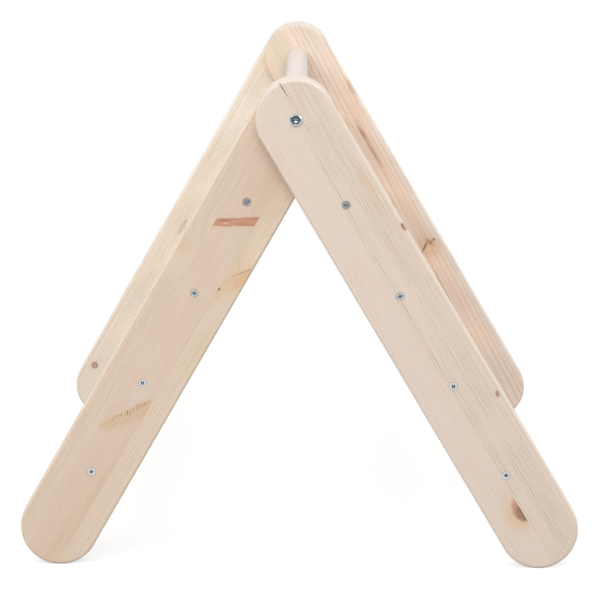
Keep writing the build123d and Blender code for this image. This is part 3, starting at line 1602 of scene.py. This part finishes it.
def install(mesh: Mesh, place: Matrix, material: Material, body: str, node: str, slot: str) -> None:
    """Makes a piece of a mesh, in a node's place.

    Args:
        mesh: The mesh in its own millimetres.
        place: From its own axes to the frame.
        material: Its material.
        body: The body that it rides on.
        node: The node that it stands for.
        slot: The record's material slot; not used.
    """
    mesh.transform(place)
    if place.determinant() < 0:
        mesh.flip_normals()
    mesh.shade_smooth()
    mesh.set_sharp_from_angle(angle=SHARP)
    mesh.materials.append(material)
    piece = new_object(mesh.name, mesh)
    normals = piece.modifiers.new("flat_faces_first", "WEIGHTED_NORMAL")
    normals.weight = FLAT_WEIGHT
    normals.keep_sharp = True
    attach(piece, body)
    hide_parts(node)
    LOG.info("%s rides on %s and has %d faces", piece.name, body, len(mesh.polygons))


RIGHT_FRONT = BoardTimber(
    node="right_front_stile",
    shown=Face.OUTER,
    strips=(
        Lamella(47.5, (180, -60), (6, 0), 4.6, 0.4, 0.0),
        Lamella(37.9, (-150, -14), (-7, 10), 2.9, 1.0, 0.06),
        Lamella(-5.7, (-70, -52), (6, -9), 2.6, 0.14, -0.15),
    ),
    knots=(
        streak(2, (598, -12), (17, 15), 0, (232, 206, 166), (222, 186, 142), 0.55, 0.5, 0.1, core=0.9,
               through=True),
        Knot(KnotKind.ROUND, 2, (591, -4.6), (17.6, 12.4), -4, (208, 164, 136), (122, 82, 74),
             halo=(218, 178, 140), strength=0.95, halo_strength=0.3, core=-0.75, slant=0.5, through=True),
        streak(2, (597, -6.2), (11, 0.9), 0, (120, 78, 68), (84, 54, 50), 0.8, 0.6, through=True),
        Knot(KnotKind.ROUND, 0, (221.3, 46.4), (5.6, 3.0), 4, (178, 130, 102), (102, 66, 50), core=1.0,
             slant=-0.35),
        streak(1, (168, 33), (34, 4.5), -3, (224, 192, 158), (214, 178, 142), 0.4, 0.9, 0.1),
        Knot(KnotKind.ROUND, 0, (452.8, 40.8), (4.0, 2.2), -14, (194, 152, 118), (136, 96, 72),
             through=True),
        streak(1, (30, -1), (80, 7), 0, (228, 210, 193), (226, 207, 188), 0.8, 0.6),
        streak(1, (290, 9), (180, 12), 0, (231, 214, 201), (228, 210, 196), 0.55),
        streak(1, (610, 3), (80, 11), 0, (229, 212, 197), (227, 208, 192), 0.6),
    ),
    bends=(Bend(1, 480, (1, 24), 0, 0.5),),
    crack=Crack(v=5.8, length=24.0, mouth=1.3, depth=8.0),
    seed=3.0,
    wash=(0.985, 0.982, 0.99, 1.0),
    late=paint(182, 158, 128),
)

LEFT_FRONT = BoardTimber(
    node="left_front_stile",
    shown=Face.OUTER,
    strips=(
        Lamella(47.5, (-90, 8), (5, 4), 2.1, 0.95, -0.08, 1.025),
        Lamella(21.6, (70, -20), (-30, 6), 2.2, 0.22, -0.6),
        Lamella(-22.0, (-95, 0), (6, -8), 4.4, 0.46, 0.32, 1.02),
    ),
    knots=(
        Knot(KnotKind.SPIKE, 1, (192.2, 0.2), (40, 5.1), 58.7, (218, 168, 136), (160, 100, 74),
             halo=(216, 182, 158), strength=0.95, halo_strength=0.3, soft=0.2, core=0.3),
        streak(1, (181, -18), (16, 5.5), 58.7, (206, 150, 120), (172, 114, 88), 0.55, 0.6),
        streak(1, (197.6, 12.2), (9, 0.8), 62, (150, 96, 72), (128, 78, 58), 0.75, 0.7),
        streak(1, (199.2, 9.6), (5.2, 1.3), 60, (230, 186, 152), (222, 172, 138), 0.85, 0.6),
        streak(1, (432, -4), (30, 12), 33, (221, 205, 189), (217, 200, 186), 0.6, 1.0),
        Knot(KnotKind.RIPPLE, 1, (461.5, 0), (42, 17), 33.7, (219, 187, 152), (140, 104, 100),
             halo=(220, 196, 178), strength=0.85, halo_strength=0.1, soft=0.8),
        streak(0, (249, 37), (9, 6), -50, (226, 198, 162), (216, 182, 144), 0.35, 0.9, 0.1),
        streak(2, (262, -30), (20, 7), 14, (228, 202, 160), (218, 186, 142), 0.5, 0.9, 0.2),
        streak(2, (249, -43), (18, 6), 8, (230, 186, 132), (206, 154, 106), 0.65, 0.8, 0.2,
               halo=(224, 194, 156)),
        streak(2, (253, -34), (7, 4), 30, (224, 186, 162), (216, 174, 148), 0.45, 0.9, 0.1),
        streak(2, (240, -38.5), (11.7, 1.1), 40, (176, 136, 112), (146, 106, 86), 0.6, 0.8, 0.15),
        Knot(KnotKind.ROUND, 2, (272.5, -23.4), (2.2, 1.1), 20, (150, 106, 82), (104, 74, 60),
             through=True),
        Knot(KnotKind.ROUND, 2, (282.5, -27.4), (1.1, 0.9), 20, (206, 178, 150), (186, 154, 128),
             through=True),
    ),
    tints=(
        # The first two tints are painted shade: darker tan where the right front board shades this board near
        # the hinge
        Tint(1, (135, -12), (60, 20), (218, 191, 168), 0.8),
        Tint(2, (135, -33), (55, 18), (222, 197, 170), 0.7),
        Tint(2, (208, -38), (40, 10), (231, 210, 188), 0.7),
        Tint(1, (575, -10), (120, 26), (219, 195, 172), 0.8),
        Tint(1, (575, -17), (75, 4), (211, 184, 155), 0.6),
        Tint(1, (645, -7), (45, 5), (211, 184, 156), 0.6),
    ),
    bends=(
        Bend(0, 252, (50, 22), -13, 0.65),
        Bend(2, 243, (22, 34), -10),
    ),
    seed=17.0,
    wash=(0.94, 0.907, 0.86, 1.0),
    late=paint(186, 160, 124),
)

RIGHT_REAR = BoardTimber(
    node="right_rear_stile",
    shown=Face.INNER,
    strips=(
        Lamella(47.5, (-20, 60), (4, 20), 3.6, 0.68, -0.25),
        Lamella(3.0, (-70, 40), (-8, -18), 4.2, 0.4, 0.3),
        Lamella(-40.6, (90, -8), (4, 4), 3.4, 0.5, 0.3),
    ),
    knots=(
        streak(0, (212, 25.5), (40, 4.2), -2, (218, 178, 150), (204, 158, 128), 0.55, 0.7, 0.3,
               halo=(220, 186, 162)),
        streak(0, (193, 24.8), (13, 2.3), 2, (200, 150, 118), (144, 98, 74), 0.7, 0.6, 0.2),
        streak(0, (230, 24.8), (23, 0.9), 3, (182, 130, 98), (138, 92, 70), 0.7, 0.6, 0.1),
        streak(0, (126.5, 46), (13, 4.4), 0, (222, 184, 138), (182, 132, 92), 0.65, 0.7, 0.3,
               halo=(222, 190, 158), core=0.9),
        streak(0, (389, 24), (18, 15), 60, (234, 196, 156), (222, 178, 138), 0.55, 0.9, 0.2),
        streak(0, (394, 23), (9, 5), 10, (240, 208, 166), (234, 198, 154), 0.5),
        streak(0, (384.9, 28.8), (6.6, 2.2), 19, (190, 128, 90), (146, 92, 64), 0.7, 0.9, 0.4,
               halo=(218, 170, 128)),
        streak(0, (385.8, 31.4), (5.4, 2.3), 96, (194, 132, 94), (150, 96, 68), 0.65, 0.9, 0.3,
               halo=(218, 170, 128)),
        streak(0, (387.8, 19.4), (9.0, 1.6), -54, (160, 102, 68), (122, 76, 52), 0.9, 0.6, 0.4,
               halo=(216, 172, 132)),
        Knot(KnotKind.ROUND, 0, (385, 36.7), (1.9, 1.5), 20, (146, 96, 70), (108, 72, 56), strength=0.8,
             halo_strength=0.2, soft=0.5),
    ),
    tints=(
        Tint(0, (30, 28), (76, 24), (234, 223, 207), 0.7),
        Tint(1, (30, -16), (76, 26), (229, 216, 194), 0.8),
        # Painted light: a paler patch towards the foot, where the light falls off
        Tint(0, (615, 25), (115, 28), (249, 228, 212), 1.0),
        Tint(0, (350, 28), (50, 10), (236, 209, 184), 0.7),
        Tint(0, (335, 18.5), (48, 6.5), (246, 221, 202), 1.0),
        # Painted highlight: a pale strip along the outer edge
        Tint(0, (400, 46), (330, 9), (239, 231, 221), 0.9),
    ),
    seed=29.0,
    wash=(1.205, 1.145, 1.12, 1.0),
)

LEFT_REAR = BoardTimber(
    node="left_rear_stile",
    shown=Face.INNER,
    strips=(
        Lamella(47.5, (-85, 14), (6, -5), 3.3, 0.68, 0.35),
        Lamella(9.0, (95, -20), (-6, 10), 3.0, 0.4, 0.25),
        Lamella(-34.6, (-40, 50), (10, 10), 4.6, 0.4, 0.0),
    ),
    knots=(
        Knot(KnotKind.ROUND, 0, (608, 32), (5.4, 5.0), 10, (198, 164, 140), (134, 98, 78), strength=0.8,
             halo_strength=0.2, core=1.1, through=True),
        Knot(KnotKind.ROUND, 0, (354.8, 21.3), (4.6, 3.2), 8, (234, 198, 178), (212, 168, 146),
             strength=0.6, halo_strength=0.2, soft=0.6, through=True),
        streak(0, (347.6, 21), (4.5, 1.7), 8, (196, 168, 140), (168, 138, 110), 0.6, 0.6, through=True),
        streak(0, (365, 20.8), (5.0, 1.7), 8, (200, 176, 144), (176, 148, 116), 0.6, 0.6, through=True),
    ),
    tints=(Tint(0, (165, 31), (62, 26), (252, 244, 233), 0.7),),
    seed=41.0,
    wash=(1.185, 1.25, 1.275, 1.0),
    late=paint(188, 157, 120),
)


@dataclass
class Ladder:
    """One ladder: two boards, their rungs and their screws.

    Attributes:
        side: Its name, right or left, which its nodes start with.
        timbers: What its two boards were sawn from.
        pivot: A point on the hinge axis.
        rung_count: Its number of rungs.
        rung_spacing: Distance between two rungs in the timber they were cut from, in millimetres.
        pine: The boards' finish.
    """

    side: str
    timbers: tuple[BoardTimber, BoardTimber]
    pivot: Vector
    rung_count: int = 4
    rung_spacing: float = 1300.0
    pine: PineFinish = field(default_factory=PineFinish)

    @property
    def body(self) -> str:
        """The body that the ladder is."""
        return f"{self.side}_ladder"

    @property
    def rungs(self) -> list[str]:
        """The rungs' nodes, from the top down."""
        return [f"{self.side}_rung_{index}" for index in range(1, self.rung_count + 1)]

    def build(self, hardwood: Material, zinc: Material) -> None:
        """Makes the ladder's pieces.

        Args:
            hardwood: The rungs' material.
            zinc: The screws' material.
        """
        for timber in self.timbers:
            stand = BoardPlace.from_frame(timber.node, self.rungs, self.pivot)
            board = BoardMaker(stand).mesh(f"{timber.node}_board", timber.crack)
            pine = self.pine.material(timber, stand)
            install(board, stand.axes, pine, self.body, timber.node, "pine_board")
            screws_node = timber.node.replace("stile", "screws")
            screws = ScrewMaker().mesh(f"{screws_node}_turned", stand)
            install(screws, stand.axes, zinc, self.body, screws_node, "zinc_screw")
        for index, node in enumerate(self.rungs):
            shift = self.rung_spacing * (index + (1 if self.side == "right" else -self.rung_count))
            rung = RungMaker().mesh(f"{node}_turned", node, shift)
            install(*rung, hardwood, self.body, node, "rung_hardwood")


@dataclass
class Hinge:
    """The hinge: the top rung, its two bolts, and the washers and inserts that stay as packed.

    Attributes:
        nodes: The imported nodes.
        body: The body that carries the hinge.
        ends: The two ends that its nodes are named for.
        insert_bore: Radius of the holes for the inserts.
        insert_depth: Depth of those holes.
    """

    nodes: Mapping[str, Object]
    body: str = "right_ladder"
    ends: tuple[str, str] = ("front", "rear")
    insert_bore: float = 6.05
    insert_depth: float = 25.0

    def build(self, hardwood: Material, zinc: Material, washer_zinc: Material, brass: Material) -> None:
        """Makes the hinge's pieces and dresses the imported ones.

        Args:
            hardwood: The top rung's material.
            zinc: The bolts' material.
            washer_zinc: The washers' material.
            brass: The inserts' material.
        """
        maker = RungMaker(bore=self.insert_bore, bore_depth=self.insert_depth, bore_tip=0.0)
        rung = maker.mesh("top_rung_turned", "top_rung", 0.0)
        install(*rung, hardwood, self.body, "top_rung", "rung_hardwood")
        for end in self.ends:
            node = f"hinge_bolt_{end}"
            bolt = BoltMaker().mesh(f"{node}_turned", node)
            install(*bolt, zinc, self.body, node, "zinc_bolt")
            self.dress(f"pivot_washer_{end}", washer_zinc)
            self.dress(f"hinge_insert_{end}", brass)

    def dress(self, node: str, material: Material) -> None:
        """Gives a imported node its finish.

        Args:
            node: The node.
            material: Its material.
        """
        for place in self.nodes[node].material_slots:
            place.material = material
        LOG.info("%s stays as packed", node)


@dataclass(frozen=True)
class View:
    """The camera's place and aim.

    Attributes:
        place: Where it stands, in metres.
        pitch: How far it looks down, in degrees.
        yaw: How far it looks to the right.
        roll: How far it is turned anticlockwise.
        lens: Focal length in millimetres.
        film: Width of the film in millimetres.
    """

    place: tuple[float, float, float] = (0.01252, -3.50693, 0.91024)
    pitch: float = 10.52
    yaw: float = -0.16
    roll: float = -0.324
    lens: float = 158.38
    film: float = 36.0

    def build(self) -> None:
        """Sets the camera up."""
        data = bpy.data.cameras.new("portrait")
        data.sensor_fit = "HORIZONTAL"
        data.sensor_width = self.film
        data.lens = self.lens
        pitch, yaw, roll = (math.radians(angle) for angle in (self.pitch, self.yaw, self.roll))
        ahead = Vector((math.sin(yaw) * math.cos(pitch), math.cos(yaw) * math.cos(pitch), -math.sin(pitch)))
        level = Vector((math.cos(yaw), -math.sin(yaw), 0))
        upright = level.cross(ahead)
        right = math.cos(roll) * level + math.sin(roll) * upright
        up = math.cos(roll) * upright - math.sin(roll) * level
        camera = new_object("portrait", data)
        turn = Matrix((right, up, -ahead)).transposed().to_4x4()
        camera.matrix_world = Matrix.Translation(self.place) @ turn
        bpy.context.scene.camera = camera


@dataclass(frozen=True)
class SoftLight:
    """A square soft light.

    Attributes:
        name: Its name.
        place: Where it hangs, in metres.
        size: Its side in metres.
        power: Its power in watts.
        aim: The point that it faces.
    """

    name: str
    place: tuple[float, float, float]
    size: float
    power: float
    aim: tuple[float, float, float] = (0.0, 0.0, 0.3)

    def build(self) -> None:
        """Hangs the light."""
        data = bpy.data.lights.new(self.name, "AREA")
        data.size = self.size
        data.energy = self.power
        aim = (Vector(self.aim) - Vector(self.place)).to_track_quat("-Z", "Y")
        lamp = new_object(self.name, data)
        lamp.matrix_world = Matrix.Translation(self.place) @ aim.to_matrix().to_4x4()


@dataclass(frozen=True)
class Studio:
    """A white floor that fades into a white room, soft lights and the camera.

    Attributes:
        floor_reach: Where the floor starts to fade and where it is gone, in metres from the object.
        floor_steps: Edges round the floor.
        floor_colour: Grey of the floor.
        floor_bounce: The same in the soft light that it throws back on the object.
        floor_glow: How much of the floor's white doesn't take shadow, as the camera sees it.
        floor_white: Brightness of that share.
        above: Light of the room from above.
        rear: Light of the room at the sides and the rear.
        dark: Light of the dark room in front.
        dark_sheen: How much lighter metal sees that dark room.
        side_sheen: How much further forward metal sees the pale sides.
        near: How much faster the floor fades for the camera.
        far: How much more slowly it fades in metal, where it reaches further.
        front_turn: Between which directions the ground below the horizon turns pale, from the front on.
        side_turn: The same above the horizon.
        horizon: Between which heights the ground ends.
        ceiling: Between which heights the light from above begins.
        lights: The lamps.
        view: The camera.
    """

    floor_reach: tuple[float, float] = (1.2, 3.6)
    floor_steps: int = 96
    floor_colour: float = 0.92
    floor_bounce: float = 0.4
    floor_glow: float = 0.6
    floor_white: float = 1.12
    above: float = 0.89
    rear: float = 0.83
    dark: float = 0.05
    dark_sheen: float = 0.03
    side_sheen: float = 0.35
    near: float = 1.65
    far: float = 0.82
    front_turn: tuple[float, float] = (-0.75, -0.4)
    side_turn: tuple[float, float] = (-0.1, 0.1)
    horizon: tuple[float, float] = (-0.05, 0.0)
    ceiling: tuple[float, float] = (0.28, 0.42)
    lights: tuple[SoftLight, ...] = (
        SoftLight("key", (-1.9, -2.6, 2.8), 1.8, 50),
        SoftLight("front", (0.0, -3.2, 2.2), 1.8, 40),
        SoftLight("right", (2.6, -0.6, 1.8), 1.6, 18),
    )
    view: View = View()

    def build(self) -> None:
        """Sets the studio up."""
        bpy.context.scene.view_settings.view_transform = "Standard"
        self.build_floor()
        self.build_room()
        for light in self.lights:
            light.build()
        self.view.build()

    def build_floor(self) -> None:
        """Lays the floor, which fades out towards its edge."""
        bm = bmesh.new()
        bmesh.ops.create_circle(bm, cap_ends=True, segments=self.floor_steps, radius=self.floor_reach[1])
        mesh = bpy.data.meshes.new("floor")
        bm.to_mesh(mesh)
        bm.free()
        material, graph = new_material("floor")
        place = graph.node("ShaderNodeTexCoord").outputs["Object"]
        length = graph.node("ShaderNodeVectorMath", {"operation": "LENGTH"}, {0: place})
        away = Value(graph, length.outputs["Value"])
        rays = graph.node("ShaderNodeLightPath").outputs
        seen, bounce, sheen = (Value(graph, rays[f"Is {ray} Ray"]) for ray in ("Camera", "Diffuse", "Glossy"))
        shades = ((level,) * 3 + (1.0,) for level in (self.floor_colour, self.floor_bounce))
        paper = graph.node("ShaderNodeBsdfDiffuse", None, {"Color": graph.blend(bounce, *shades)}).outputs[0]
        white = {"Color": (1, 1, 1, 1), "Strength": self.floor_white}
        glow = graph.node("ShaderNodeEmission", None, white).outputs[0]
        clear = graph.node("ShaderNodeBsdfTransparent").outputs[0]
        shown = seen * self.floor_glow
        lit = graph.node("ShaderNodeMixShader", None, {0: shown, 1: paper, 2: glow}).outputs[0]
        fade = (away * (seen * (self.near - 1) + sheen * (self.far - 1) + 1)).rise(*self.floor_reach)
        faded = graph.node("ShaderNodeMixShader", None, {0: fade, 1: lit, 2: clear})
        graph.node("ShaderNodeOutputMaterial", None, {"Surface": faded.outputs[0]})
        mesh.materials.append(material)
        floor = new_object("floor", mesh)

    def build_room(self) -> None:
        """Lights the room: white to the camera, pale above and at the rear, dark in front."""
        world = bpy.data.worlds.new("studio")
        world.use_nodes = True
        bpy.context.scene.world = world
        graph = Graph(world.node_tree)
        _, back, up = graph.axes(graph.node("ShaderNodeTexCoord").outputs["Generated"])
        rays = graph.node("ShaderNodeLightPath").outputs
        seen, sheen = (Value(graph, rays[f"Is {ray} Ray"]) for ray in ("Camera", "Glossy"))
        dark = sheen * self.dark_sheen + self.dark
        ground = dark + back.rise(*self.front_turn) * (self.rear - dark)
        wall = dark + (back + sheen * self.side_sheen).rise(*self.side_turn) * (self.rear - dark)
        level = ground + up.rise(*self.horizon) * (wall - ground)
        level = level + up.rise(*self.ceiling) * (self.above - level)
        light = level + seen * (1 - level)
        background = graph.node("ShaderNodeBackground", None, {"Color": (1, 1, 1, 1), "Strength": light})
        graph.node("ShaderNodeOutputWorld", None, {"Surface": background.outputs[0]})


def main() -> None:
    """Builds the ladders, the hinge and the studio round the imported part."""
    logging.basicConfig(level=logging.INFO, format="%(message)s")
    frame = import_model()
    pivot = Vector(frame["joints"][0]["pos_m"])
    hardwood = RungFinish("rung_hardwood_ladder", paint(226, 203, 182), paint(212, 184, 158)).material()
    screw_zinc = ZINC_SCREW.material()
    Ladder("right", (RIGHT_FRONT, RIGHT_REAR), pivot).build(hardwood, screw_zinc)
    Ladder("left", (LEFT_FRONT, LEFT_REAR), pivot).build(hardwood, screw_zinc)
    bolt_zinc, washer_zinc = ZINC_BOLT.material(), ZINC_BOLT.material(pivot)
    Hinge(frame["nodes"]).build(RungFinish().material(), bolt_zinc, washer_zinc, BRASS.material(pivot))
    Studio().build()


if __name__ == "__main__":
    main()
